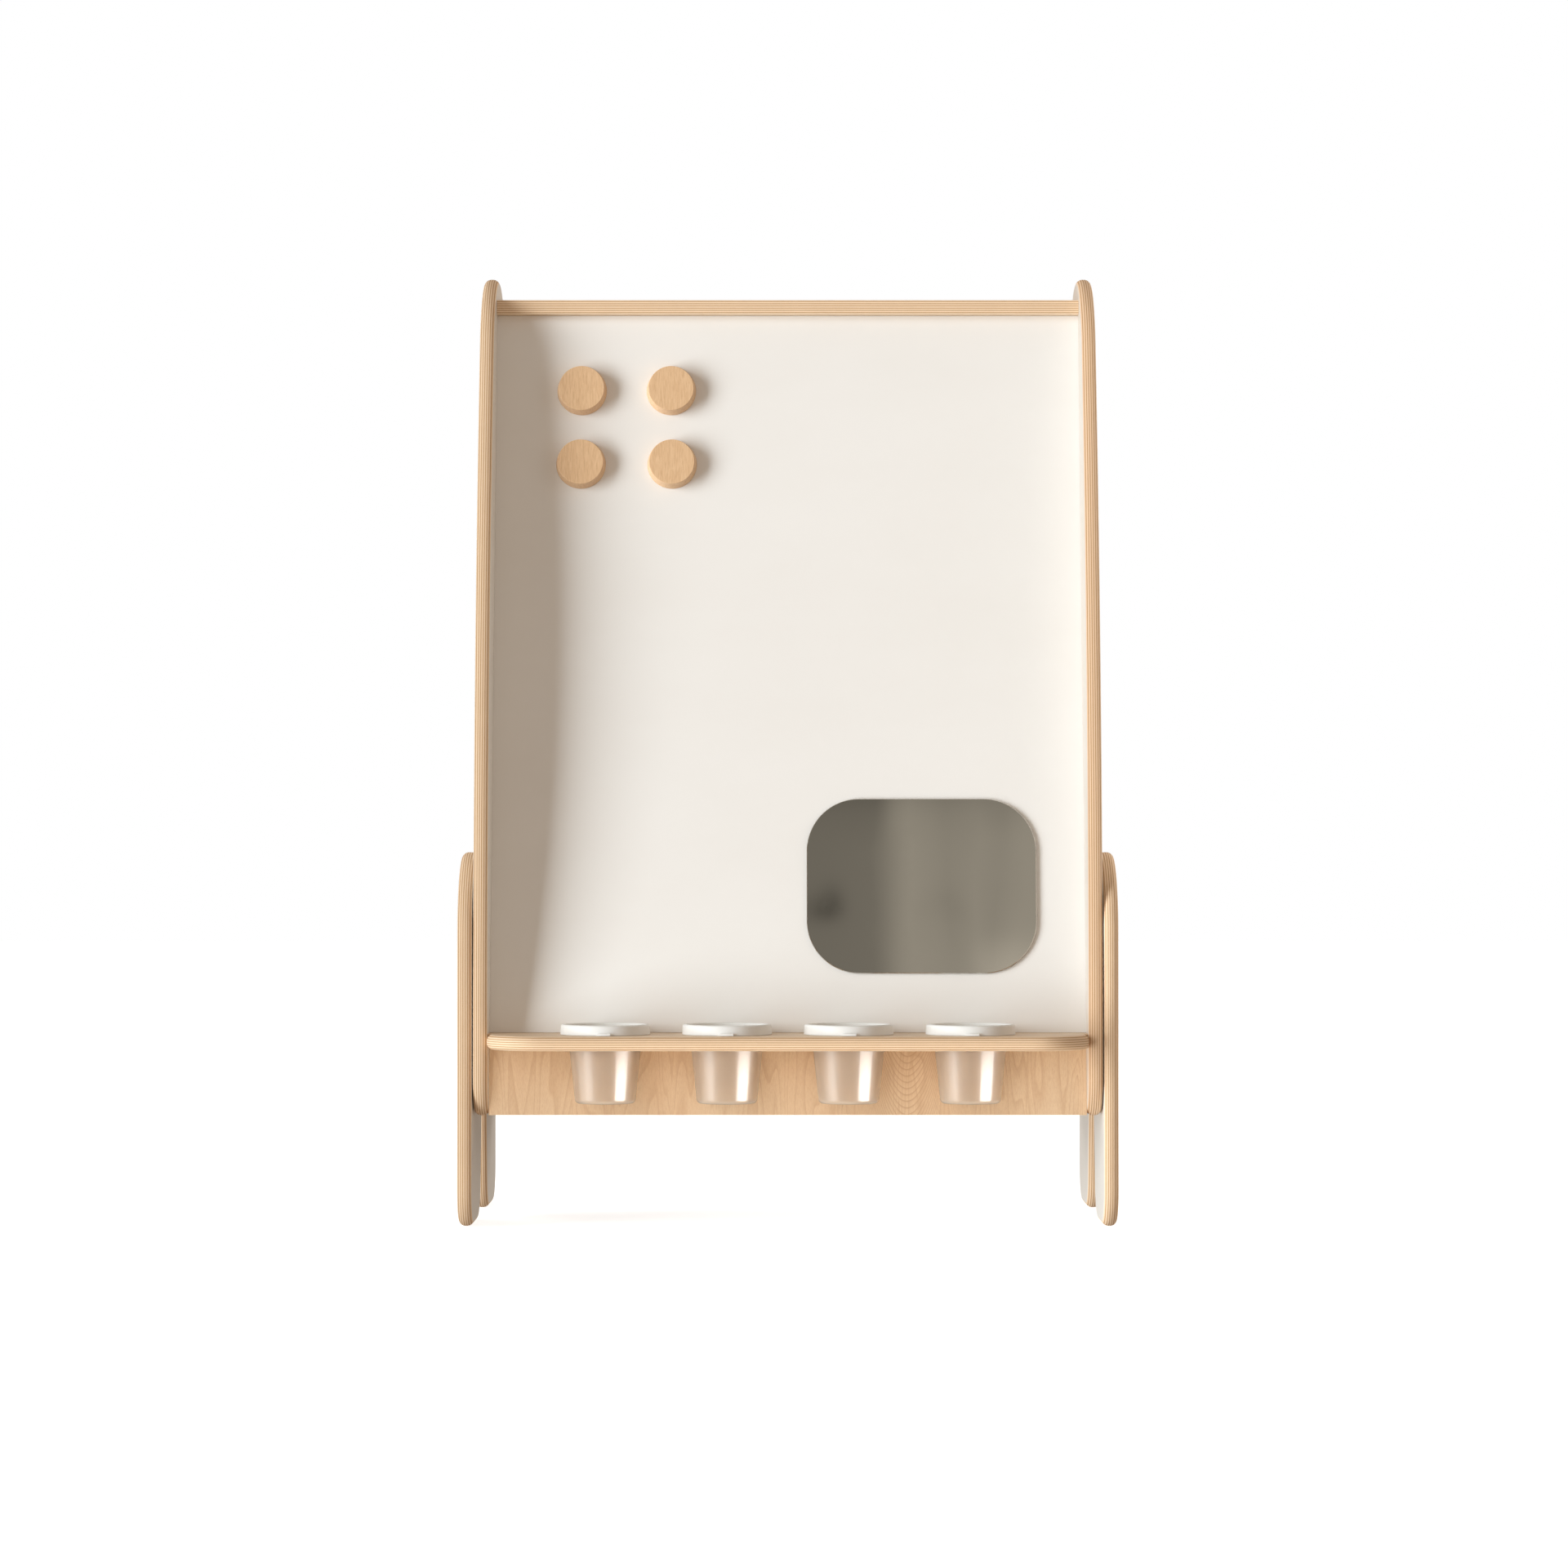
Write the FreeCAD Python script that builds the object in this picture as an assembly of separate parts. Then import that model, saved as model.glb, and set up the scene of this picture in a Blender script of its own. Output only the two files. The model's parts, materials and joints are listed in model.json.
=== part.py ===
import FreeCAD, Part
import math
import os

# A double-sided children's easel. Millimetres, +Z up, +X to the right, the front faces -Y.
# The origin is on the floor, under the middle of the whole easel.

# Driving dimensions
PLY = 15.0                  # plywood thickness of panels, tray, plank and rails
BULLNOSE_R = 6.5            # rounding of both corners of an exposed ply edge
INNER_W = 610.0             # clear width between the side panels
SIDE_GAP = 1.0              # gap between a side panel and its base panel
PANEL_D = 380.0             # depth of the base panels and of the side panels
TRAY_REACH = 63.0           # how far the tray stands in front of the base
FIT_GAP = 0.2               # clearance round pieces fastened together
HOLE_GAP = 0.3              # extra radius of a bolt hole

# Base panels
BASE_H = 382.0
BASE_TOP_R = 82.0
FOOT_R = 40.0
ARCH_HALF = 38.0            # half width of the arch where its sides start
ARCH_SPRING_Z = 92.0        # height of the centre of the arch's round top
ARCH_FLARE_DEG = 10.0       # how far the sides of the arch spread towards the floor

# Side panels
SIDE_BOTTOM_Z = 113.0
SIDE_TOP_Z = 988.5
SIDE_BOTTOM_R = 38.0
SIDE_STRAIGHT_Z = 200.0     # the front and rear edges are upright up to here
SIDE_SWEEP_R = 2850.0       # radius of the long curve above

# Boards, leaning towards each other
BOARD_BACKER_T = 9.0
BOARD_STEEL_T = 0.6
BOARD_SLOPE = 0.149         # how far the face goes back per unit of height
BOARD_FRONT_DEPTH = 36.0    # depth of the face behind the base's front, at the top of the tray
GROOVE_DEPTH = 3.0
PLANK_Z = 946.0             # underside of the top plank
PLANK_FRONT_DEPTH = 135.5
PLANK_EDGE_R = 1.5

# Tray and rails
TRAY_Z = 182.5              # underside of the tray
TRAY_REAR_DEPTH = 50.0
TRAY_CORNER_R = 56.0
RAIL_BOTTOM_Z = 113.8
RAIL_EDGE_R = 0.6

# Cups and lids
CUP_COUNT = 4
CUP_PITCH = 123.2
CUP_DEPTH = -10.5           # depth of the row of cups
CUP_HOLE_R = 38.0
CUP_BOTTOM_Z = 128.0
CUP_BOTTOM_R = 30.4
CUP_TOP_R = 37.5
CUP_WALL = 1.8
CUP_CORNER_R = 4.5
FLANGE_R = 43.0
FLANGE_T = 2.5
LID_R = 45.4
LID_H = 10.5
LID_SKIRT_GAP = 0.3         # height of the lid's skirt above the tray
LID_RECESS_R = 40.0
LID_RECESS = 3.8
LID_PLATE_T = 2.5
LID_EDGE_R = 2.4            # outer top edge
LID_RIM_R = 1.2             # edge of the recess
LID_DRAFT = 0.6             # how much the lid narrows towards its top
LID_FLANGE_GAP = 0.5        # radial gap between the skirt and the cup's flange
LID_PLUG_GAP = 0.8          # radial gap between the plug and the cup
LID_PLUG_WALL = 2.0
LID_PLUG_H = 5.0
LID_TAB_W = 14.0
LID_TAB_REACH = 2.5
LID_TAB_T = 2.2
LID_TAB_ROOT = 1.2          # how far the tab runs into the skirt

# Mirror
MIRROR_W = 236.0
MIRROR_H = 181.0
MIRROR_R = 54.0
MIRROR_T = 3.0
MIRROR_BEVEL = 0.5
MIRROR_X = 137.5
MIRROR_Z = 347.0
PAD_T = 0.6
PAD_INSET = 5.0

# Wooden magnets
DISC_R = 26.0               # at the board; the side tapers to the face
DISC_FACE_R = 23.7
DISC_T = 14.0
DISC_EDGE_R = 0.6
DISC_GAP = 0.1              # air between the disc and the board
MAGNET_R = 10.0
MAGNET_T = 4.0
DISC_PLACES = {
    "upper_left": (-215.4, 865.0),
    "upper_right": (-121.9, 865.0),
    "lower_left": (-216.0, 787.0),
    "lower_right": (-120.8, 787.0),
}

# Height adjustment: bolts in the base panels, slots in the side panels
LIFT = 120.0
SLOT_OFFSET = 100.0         # distance of each slot from the middle of the panel
HEIGHT_BOLT_Z = 262.0
HEIGHT_BOLT_R = 3.0
HEIGHT_HEAD_R = 8.5
HEIGHT_HEAD_T = 2.2
HEIGHT_HEAD_EDGE_R = 1.0
SLEEVE_R = 4.0
SLOT_SIDE_GAP = 0.4
SLOT_END_GAP = 0.6
NUT_FLANGE_R = 11.0
NUT_FLANGE_T = 2.0
NUT_FLANGE_GAP = 0.3
NUT_FLANGE_EDGE_R = 0.8
WASHER_R = 9.0
WASHER_T = 0.6

# Connector bolts, barrel nuts and dowels
BOLT_R = 3.0
BOLT_LENGTH = 46.0
BOLT_HEAD_R = 7.0
BOLT_HEAD_T = 2.0
SOCKET_ACROSS = 4.0         # hexagon socket, across its flats
SOCKET_DEPTH = 1.6
BARREL_R = 5.0
BARREL_LENGTH = 11.0
BARREL_FROM_END = 24.0      # distance of a barrel nut from the end of its board
THREAD_GAP = 0.1            # plain threads: a nut's bore is this much wider than its bolt
DOWEL_R = 4.0
DOWEL_LENGTH = 30.0
DOWEL_IN_SIDE = 9.0
DOWEL_BEVEL = 0.8
DOWEL_HOLE_SPARE = 1.0      # room left at the bottom of a dowel's hole
PLANK_BOLT_OFFSET = 36.0
TRAY_BOLT_DEPTH = 19.0
TRAY_DOWEL_DEPTH = 39.0
RAIL_BOLT_ZS = (132.0, 166.0)
RAIL_DOWEL_Z = 149.0

# Derived
FRONT_Y = TRAY_REACH / 2 - PANEL_D / 2
MID_Y = FRONT_Y + PANEL_D / 2
SIDE_IN = INNER_W / 2
SIDE_OUT = SIDE_IN + PLY
BASE_IN = SIDE_OUT + SIDE_GAP
BASE_OUT = BASE_IN + PLY
TRAY_TOP_Z = TRAY_Z + PLY
LEAN = math.atan(BOARD_SLOPE)
LID_BOTTOM_Z = TRAY_TOP_Z + LID_SKIRT_GAP
LID_TOP_Z = TRAY_TOP_Z + LID_H
FLANGE_TOP_Z = TRAY_TOP_Z + FLANGE_T
OVERCUT = 5.0               # how far a cutting tool runs past the face that it cuts
NEAR = 1e-4                 # lengths closer than this count as equal


def vec(x, y, z):
    return FreeCAD.Vector(x, y, z)


def depth_y(depth):
    """Y of a point at a depth behind the front of the base."""
    return FRONT_Y + depth


def export(name, solids):
    """Write one node: a single solid, or a group of identical ones."""
    shape = solids[0] if len(solids) == 1 else Part.makeCompound(solids)
    shape.exportStep(f"parts/{name}.step")


def mirror_x(shape):
    return shape.mirror(vec(0, 0, 0), vec(1, 0, 0))


def mirror_y(shape):
    """The matching piece on the other face of the easel."""
    return shape.mirror(vec(0, MID_Y, 0), vec(0, 1, 0))


def bar_x(radius, y, z, x_start, x_end):
    """A round bar along X."""
    return Part.makeCylinder(radius, x_end - x_start, vec(x_start, y, z), vec(1, 0, 0))


def box(x_start, x_end, y_start, y_end, z_start, z_end):
    return Part.makeBox(x_end - x_start, y_end - y_start, z_end - z_start,
                        vec(x_start, y_start, z_start))


def arc(start, middle, end):
    return Part.Arc(start, middle, end).toShape()


def line(start, end):
    return Part.LineSegment(start, end).toShape()


def slab_x(edges, x_start, thickness):
    """A slab of even thickness, from a closed outline in the plane x = x_start."""
    face = Part.Face(Part.Wire(Part.__sortEdges__(edges)))
    return face.extrude(vec(thickness, 0, 0))


def polygon_slab(points_yz, x_start, x_end):
    points = [vec(x_start, y, z) for y, z in points_yz]
    face = Part.Face(Part.makePolygon(points + points[:1]))
    return face.extrude(vec(x_end - x_start, 0, 0))


def edges_in_plane(shape, axis, value):
    """Edges that lie wholly in the plane where this coordinate has this value."""
    found = []
    for edge in shape.Edges:
        low = getattr(edge.BoundBox, axis + "Min")
        high = getattr(edge.BoundBox, axis + "Max")
        if abs(low - value) < NEAR and abs(high - value) < NEAR:
            found.append(edge)
    return found


def round_both_faces(slab, x_start, x_end):
    edges = edges_in_plane(slab, "X", x_start) + edges_in_plane(slab, "X", x_end)
    return slab.makeFillet(BULLNOSE_R, edges)


def hexagon_socket(y, z, x_mouth, direction):
    """A hexagonal pocket that starts at x_mouth and runs along direction, +1 or -1."""
    corner = SOCKET_ACROSS / math.sqrt(3)
    points = []
    for step in range(7):
        angle = math.radians(60 * step)
        points.append(vec(x_mouth, y + corner * math.cos(angle), z + corner * math.sin(angle)))
    return Part.Face(Part.makePolygon(points)).extrude(vec(direction * SOCKET_DEPTH, 0, 0))


# Base panels

def base_outline(x):
    """Upright panel with a round-shouldered top and an arch that leaves two legs."""
    front = FRONT_Y
    rear = FRONT_Y + PANEL_D
    diagonal = math.sqrt(0.5)
    flare = math.radians(ARCH_FLARE_DEG)
    # where the round top of the arch meets its slanted side, seen from the arch's centre
    side_y = ARCH_HALF * math.cos(flare)
    side_z = ARCH_SPRING_Z + ARCH_HALF * math.sin(flare)
    # the foot's corner circle touches the floor and the slanted side
    foot_y = side_y + (side_z - FOOT_R) * math.tan(flare) + FOOT_R / math.cos(flare)
    touch_y = foot_y - FOOT_R * math.cos(flare)
    touch_z = FOOT_R - FOOT_R * math.sin(flare)
    middle = math.pi / 4 + flare / 2
    corner_y = foot_y - FOOT_R * math.cos(middle)
    corner_z = FOOT_R - FOOT_R * math.sin(middle)
    half = [
        line(vec(x, front, FOOT_R), vec(x, front, BASE_H - BASE_TOP_R)),
        arc(vec(x, front, BASE_H - BASE_TOP_R),
            vec(x, front + BASE_TOP_R * (1 - diagonal), BASE_H - BASE_TOP_R * (1 - diagonal)),
            vec(x, front + BASE_TOP_R, BASE_H)),
        arc(vec(x, front, FOOT_R),
            vec(x, front + FOOT_R * (1 - diagonal), FOOT_R * (1 - diagonal)),
            vec(x, front + FOOT_R, 0)),
        line(vec(x, front + FOOT_R, 0), vec(x, MID_Y - foot_y, 0)),
        arc(vec(x, MID_Y - foot_y, 0), vec(x, MID_Y - corner_y, corner_z),
            vec(x, MID_Y - touch_y, touch_z)),
        line(vec(x, MID_Y - touch_y, touch_z), vec(x, MID_Y - side_y, side_z)),
    ]
    edges = half + [mirror_y(edge) for edge in half]
    edges.append(line(vec(x, front + BASE_TOP_R, BASE_H), vec(x, rear - BASE_TOP_R, BASE_H)))
    edges.append(arc(vec(x, MID_Y - side_y, side_z), vec(x, MID_Y, ARCH_SPRING_Z + ARCH_HALF),
                     vec(x, MID_Y + side_y, side_z)))
    return edges


def slot_ys():
    return (MID_Y - SLOT_OFFSET, MID_Y + SLOT_OFFSET)


def base_panel():
    slab = round_both_faces(slab_x(base_outline(BASE_IN), BASE_IN, PLY), BASE_IN, BASE_OUT)
    for y in slot_ys():
        hole_r = HEIGHT_BOLT_R + HOLE_GAP
        slab = slab.cut(bar_x(hole_r, y, HEIGHT_BOLT_Z, BASE_IN - OVERCUT, BASE_OUT + OVERCUT))
    return slab


def height_bolts():
    """Flat-headed bolts, from the outside of a base panel into the sleeve nuts."""
    bolts = []
    for y in slot_ys():
        head = bar_x(HEIGHT_HEAD_R, y, HEIGHT_BOLT_Z, BASE_OUT, BASE_OUT + HEIGHT_HEAD_T)
        head = head.makeFillet(HEIGHT_HEAD_EDGE_R, edges_in_plane(head, "X", BASE_OUT + HEIGHT_HEAD_T))
        shank = bar_x(HEIGHT_BOLT_R, y, HEIGHT_BOLT_Z, SIDE_IN, BASE_OUT)
        socket = hexagon_socket(y, HEIGHT_BOLT_Z, BASE_OUT + HEIGHT_HEAD_T, -1)
        bolts.append(head.fuse(shank).removeSplitter().cut(socket))
    return bolts


def sleeve_nuts():
    """Flanged sleeves inside a side panel. Each sleeve fills its slot and holds a height bolt."""
    nuts = []
    flange_x = SIDE_IN - NUT_FLANGE_GAP
    for y in slot_ys():
        flange = bar_x(NUT_FLANGE_R, y, HEIGHT_BOLT_Z, flange_x - NUT_FLANGE_T, flange_x)
        rim = edges_in_plane(flange, "X", flange_x - NUT_FLANGE_T)
        flange = flange.makeFillet(NUT_FLANGE_EDGE_R, rim)
        sleeve = bar_x(SLEEVE_R, y, HEIGHT_BOLT_Z, flange_x, SIDE_OUT)
        bore = bar_x(HEIGHT_BOLT_R + THREAD_GAP, y, HEIGHT_BOLT_Z, SIDE_IN, SIDE_OUT + OVERCUT)
        nuts.append(flange.fuse(sleeve).removeSplitter().cut(bore))
    return nuts


def spacer_washers():
    washers = []
    start = SIDE_OUT + (SIDE_GAP - WASHER_T) / 2
    for y in slot_ys():
        disc = bar_x(WASHER_R, y, HEIGHT_BOLT_Z, start, start + WASHER_T)
        hole_r = HEIGHT_BOLT_R + HOLE_GAP
        washers.append(disc.cut(bar_x(hole_r, y, HEIGHT_BOLT_Z, SIDE_OUT, BASE_IN)))
    return washers


# Side panels

def side_outline(x):
    """Upright at the bottom, then swept inwards on long curves that end in a round crown."""
    front = FRONT_Y
    half = PANEL_D / 2
    rise = SIDE_TOP_Z - SIDE_STRAIGHT_Z
    sweep_y = front + SIDE_SWEEP_R
    crown_r = SIDE_SWEEP_R ** 2 - (SIDE_SWEEP_R - half) ** 2 - rise ** 2
    crown_r = crown_r / (2 * (SIDE_SWEEP_R - rise))
    crown_z = SIDE_TOP_Z - crown_r
    # angle at which the sweep hands over to the crown
    turn = math.atan2(crown_z - SIDE_STRAIGHT_Z, SIDE_SWEEP_R - half)

    def on_sweep(angle):
        return vec(x, sweep_y - SIDE_SWEEP_R * math.cos(angle),
                   SIDE_STRAIGHT_Z + SIDE_SWEEP_R * math.sin(angle))

    diagonal = math.sqrt(0.5)
    corner_z = SIDE_BOTTOM_Z + SIDE_BOTTOM_R
    half_edges = [
        arc(on_sweep(0), on_sweep(turn / 2), on_sweep(turn)),
        line(on_sweep(0), vec(x, front, corner_z)),
        arc(vec(x, front, corner_z),
            vec(x, front + SIDE_BOTTOM_R * (1 - diagonal), corner_z - SIDE_BOTTOM_R * diagonal),
            vec(x, front + SIDE_BOTTOM_R, SIDE_BOTTOM_Z)),
    ]
    edges = half_edges + [mirror_y(edge) for edge in half_edges]
    rear_end = on_sweep(turn)
    rear_end.y = 2 * MID_Y - rear_end.y
    edges.append(arc(on_sweep(turn), vec(x, MID_Y, SIDE_TOP_Z), rear_end))
    edges.append(line(vec(x, front + SIDE_BOTTOM_R, SIDE_BOTTOM_Z),
                      vec(x, front + PANEL_D - SIDE_BOTTOM_R, SIDE_BOTTOM_Z)))
    return edges


def height_slot(y):
    """A slot that its sleeve meets at the top end at rest, and at the bottom end when lifted."""
    half_width = SLEEVE_R + SLOT_SIDE_GAP
    end = SLOT_END_GAP - SLOT_SIDE_GAP
    x_start = SIDE_IN - OVERCUT
    x_end = SIDE_OUT + SIDE_GAP / 2
    low_z = HEIGHT_BOLT_Z - LIFT - end
    high_z = HEIGHT_BOLT_Z + end
    middle = box(x_start, x_end, y - half_width, y + half_width, low_z, high_z)
    return middle.fuse([bar_x(half_width, y, z, x_start, x_end) for z in (low_z, high_z)])


def rail_mid_y(z):
    """Y of the middle of the front rail's thickness at a height."""
    return board_face_y(z) + PLY / math.cos(LEAN) / 2


def joint_places():
    """(y, z) of every connector bolt and of every dowel in one side panel."""
    bolts = [(MID_Y + sign * PLANK_BOLT_OFFSET, PLANK_Z + PLY / 2) for sign in (-1, 1)]
    dowels = [(MID_Y, PLANK_Z + PLY / 2)]
    bolts.append((depth_y(TRAY_BOLT_DEPTH), TRAY_Z + PLY / 2))
    dowels.append((depth_y(TRAY_DOWEL_DEPTH), TRAY_Z + PLY / 2))
    for z in RAIL_BOLT_ZS:
        bolts.append((rail_mid_y(z), z))
        bolts.append((2 * MID_Y - rail_mid_y(z), z))
    dowels.append((rail_mid_y(RAIL_DOWEL_Z), RAIL_DOWEL_Z))
    dowels.append((2 * MID_Y - rail_mid_y(RAIL_DOWEL_Z), RAIL_DOWEL_Z))
    return bolts, dowels


def side_panel():
    slab = round_both_faces(slab_x(side_outline(SIDE_IN), SIDE_IN, PLY), SIDE_IN, SIDE_OUT)
    cutters = [height_slot(y) for y in slot_ys()]
    groove = board_layer(-FIT_GAP, BOARD_STEEL_T + BOARD_BACKER_T + FIT_GAP,
                         TRAY_TOP_Z - FIT_GAP, PLANK_Z, SIDE_IN - OVERCUT, SIDE_IN + GROOVE_DEPTH)
    rear_groove = board_layer(-FIT_GAP, BOARD_STEEL_T + BOARD_BACKER_T + FIT_GAP,
                              TRAY_Z - FIT_GAP, PLANK_Z, SIDE_IN - OVERCUT, SIDE_IN + GROOVE_DEPTH)
    cutters += [groove, mirror_y(rear_groove)]
    bolts, dowels = joint_places()
    for y, z in bolts:
        cutters.append(bar_x(BOLT_R + HOLE_GAP, y, z, SIDE_IN - OVERCUT, SIDE_OUT))
        head_x = SIDE_OUT - BOLT_HEAD_T - FIT_GAP
        cutters.append(bar_x(BOLT_HEAD_R + FIT_GAP, y, z, head_x, SIDE_OUT + SIDE_GAP / 2))
    for y, z in dowels:
        cutters.append(bar_x(DOWEL_R + FIT_GAP, y, z, SIDE_IN - OVERCUT, SIDE_IN + DOWEL_IN_SIDE))
    for cutter in cutters:
        slab = slab.cut(cutter)
    return slab


# Boards, plank, tray and rails

def board_face_y(z):
    """Y of the front board's visible face at a height. The rail's face is in the same plane."""
    return depth_y(BOARD_FRONT_DEPTH + BOARD_SLOPE * (z - TRAY_TOP_Z))


def board_layer(near, far, z_low, z_high, x_start, x_end):
    """A leaning layer between two distances behind the board's face, cut level at both ends."""
    near_y = near / math.cos(LEAN)
    far_y = far / math.cos(LEAN)
    points = [
        (board_face_y(z_low) + near_y, z_low),
        (board_face_y(z_low) + far_y, z_low),
        (board_face_y(z_high) + far_y, z_high),
        (board_face_y(z_high) + near_y, z_high),
    ]
    return polygon_slab(points, x_start, x_end)


def board_piece(near, far, z_low):
    half = SIDE_IN + GROOVE_DEPTH - FIT_GAP
    return board_layer(near, far, z_low + FIT_GAP, PLANK_Z - FIT_GAP, -half, half)


def drill_ends(plate, bolts, dowels, nut_axis):
    """Drill both ends of a cross piece for its bolts, its dowels and its barrel nuts."""
    end_x = SIDE_IN
    for y, z in bolts:
        hole_start = end_x - BOLT_LENGTH
        nut_x = end_x - BARREL_FROM_END
        hole = bar_x(BOLT_R + HOLE_GAP, y, z, hole_start, end_x + OVERCUT)
        start = vec(nut_x, y, z) - nut_axis * (PLY / 2 + OVERCUT)
        length = PLY / 2 + OVERCUT + BARREL_LENGTH / 2 + FIT_GAP
        pocket = Part.makeCylinder(BARREL_R + FIT_GAP, length, start, nut_axis)
        for cutter in (hole, pocket, mirror_x(hole), mirror_x(pocket)):
            plate = plate.cut(cutter)
    for y, z in dowels:
        depth = DOWEL_LENGTH - DOWEL_IN_SIDE + FIT_GAP + DOWEL_HOLE_SPARE
        hole = bar_x(DOWEL_R + FIT_GAP, y, z, end_x - depth, end_x + OVERCUT)
        plate = plate.cut(hole).cut(mirror_x(hole))
    return plate


def plate_between(y_start, y_end, z_low):
    half = SIDE_IN - FIT_GAP / 2
    return box(-half, half, y_start, y_end, z_low, z_low + PLY)


def top_plank():
    y_start = depth_y(PLANK_FRONT_DEPTH)
    y_end = 2 * MID_Y - y_start
    plate = plate_between(y_start, y_end, PLANK_Z)
    edges = edges_in_plane(plate, "Y", y_start) + edges_in_plane(plate, "Y", y_end)
    long_edges = [edge for edge in edges if edge.Length > 2 * PLY]
    plate = plate.makeFillet(PLANK_EDGE_R, long_edges)
    bolts, dowels = joint_places()
    return drill_ends(plate, bolts[:2], dowels[:1], vec(0, 0, 1))


def tray():
    """A shelf with a rounded front that passes in front of the side panels."""
    half = SIDE_IN - FIT_GAP / 2
    front_y = depth_y(-TRAY_REACH)
    rear_y = depth_y(TRAY_REAR_DEPTH)
    plate = box(-half, half, front_y, rear_y, TRAY_Z, TRAY_TOP_Z)
    corners = [edge for edge in edges_in_plane(plate, "Y", front_y) if edge.Length < 2 * PLY]
    plate = plate.makeFillet(TRAY_CORNER_R, corners)
    rim = []
    for edge in edges_in_plane(plate, "Z", TRAY_Z) + edges_in_plane(plate, "Z", TRAY_TOP_Z):
        if edge.BoundBox.YMin < rear_y - OVERCUT:
            rim.append(edge)
    plate = plate.makeFillet(BULLNOSE_R, rim)
    # between the side panels the ends are square, so that they meet the panels all over
    inner = box(-half, half, depth_y(BULLNOSE_R), rear_y, TRAY_Z, TRAY_TOP_Z)
    plate = plate.fuse(inner).removeSplitter()
    for x in cup_xs():
        hole = Part.makeCylinder(CUP_HOLE_R, PLY + 2 * OVERCUT,
                                 vec(x, depth_y(CUP_DEPTH), TRAY_Z - OVERCUT))
        plate = plate.cut(hole)
    bolts, dowels = joint_places()
    return drill_ends(plate, bolts[2:3], dowels[1:2], vec(0, 0, 1))


def rail():
    """The front lower rail. Its face continues the board's face under the tray."""
    half = SIDE_IN - FIT_GAP / 2
    top = TRAY_Z - FIT_GAP / 2
    plate = board_layer(0, PLY, RAIL_BOTTOM_Z, top, -half, half)
    edges = edges_in_plane(plate, "Z", RAIL_BOTTOM_Z)
    plate = plate.makeFillet(RAIL_EDGE_R, [edge for edge in edges if edge.Length > 2 * PLY])
    bolts, dowels = joint_places()
    return drill_ends(plate, bolts[3::2], dowels[2:3], vec(0, -1, 0))


def connector_bolts():
    """Flat-headed bolts, flush in the outer faces of the side panels."""
    bolts = []
    head_x = SIDE_OUT - BOLT_HEAD_T
    for y, z in joint_places()[0]:
        head = bar_x(BOLT_HEAD_R, y, z, head_x, SIDE_OUT)
        shank = bar_x(BOLT_R, y, z, SIDE_OUT - BOLT_LENGTH, head_x)
        socket = hexagon_socket(y, z, SIDE_OUT, -1)
        bolt = head.fuse(shank).removeSplitter().cut(socket)
        bolts += [bolt, mirror_x(bolt)]
    return bolts


def barrel_nuts():
    nuts = []
    for index, (y, z) in enumerate(joint_places()[0]):
        axis = vec(0, 0, 1) if index < 3 else vec(0, 1, 0)
        centre = vec(SIDE_IN - BARREL_FROM_END, y, z)
        body = Part.makeCylinder(BARREL_R, BARREL_LENGTH, centre - axis * (BARREL_LENGTH / 2), axis)
        bore = bar_x(BOLT_R + THREAD_GAP, y, z, centre.x - 2 * BARREL_R, centre.x + 2 * BARREL_R)
        nut = body.cut(bore)
        nuts += [nut, mirror_x(nut)]
    return nuts


def dowels():
    pegs = []
    start = SIDE_IN + DOWEL_IN_SIDE - DOWEL_LENGTH - FIT_GAP
    for y, z in joint_places()[1]:
        peg = bar_x(DOWEL_R, y, z, start, start + DOWEL_LENGTH)
        ends = edges_in_plane(peg, "X", start) + edges_in_plane(peg, "X", start + DOWEL_LENGTH)
        peg = peg.makeChamfer(DOWEL_BEVEL, ends)
        pegs += [peg, mirror_x(peg)]
    return pegs


# Cups and lids

def cup_xs():
    return [CUP_PITCH * (index - (CUP_COUNT - 1) / 2) for index in range(CUP_COUNT)]


def turned(points, x):
    """A solid of revolution about a cup's axis, from (radius, z) points."""
    wire = Part.makePolygon([vec(radius, 0, z) for radius, z in points + points[:1]])
    solid = Part.Face(wire).revolve(vec(0, 0, 0), vec(0, 0, 1), 360)
    solid.translate(vec(x, depth_y(CUP_DEPTH), 0))
    return solid


def ring_edges(shape, radius, z):
    """Circles of this radius at this height."""
    found = []
    for edge in shape.Edges:
        if hasattr(edge.Curve, "Radius") and abs(edge.Curve.Radius - radius) < NEAR:
            found.append(edge)
    return [edge for edge in found if abs(edge.BoundBox.ZMin - z) < NEAR]


def cup(x):
    """A tapered cup with a flat flange that rests on the tray."""
    inner_bottom_r = CUP_BOTTOM_R - CUP_WALL
    inner_top_r = CUP_TOP_R - CUP_WALL
    floor_z = CUP_BOTTOM_Z + CUP_WALL
    solid = turned([
        (0, CUP_BOTTOM_Z),
        (CUP_BOTTOM_R, CUP_BOTTOM_Z),
        (CUP_TOP_R, TRAY_TOP_Z),
        (FLANGE_R, TRAY_TOP_Z),
        (FLANGE_R, FLANGE_TOP_Z),
        (inner_top_r, FLANGE_TOP_Z),
        (inner_bottom_r, floor_z),
        (0, floor_z),
    ], x)
    solid = solid.makeFillet(CUP_CORNER_R, ring_edges(solid, CUP_BOTTOM_R, CUP_BOTTOM_Z))
    return solid.makeFillet(CUP_CORNER_R - CUP_WALL, ring_edges(solid, inner_bottom_r, floor_z))


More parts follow.
